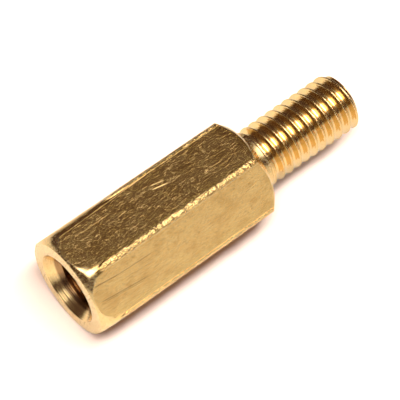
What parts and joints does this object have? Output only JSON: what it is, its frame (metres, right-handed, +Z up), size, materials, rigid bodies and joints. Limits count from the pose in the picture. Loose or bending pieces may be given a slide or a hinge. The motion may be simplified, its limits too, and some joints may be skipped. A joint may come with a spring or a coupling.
{
  "type": "hex standoff",
  "caption": "Hexagonal brass standoff with a threaded stud at one end and a blind tapped hole in the other, for holding a board clear of a base.",
  "frame": {"origin": "on the axis, in the plane of the shoulder where the stud leaves the hexagon", "axes": "+X along the axis, out of the stud; +Z up, out of the upper flat; the part lies on its lower flat"},
  "size_m": [0.016, 0.0054, 0.0048],
  "materials": {
    "brass": "drawn flats with fine lengthwise lines, turned ends, plain uncoated brass"
  },
  "bodies": {
    "root": {"standoff": "brass"}
  },
  "joints": []
}
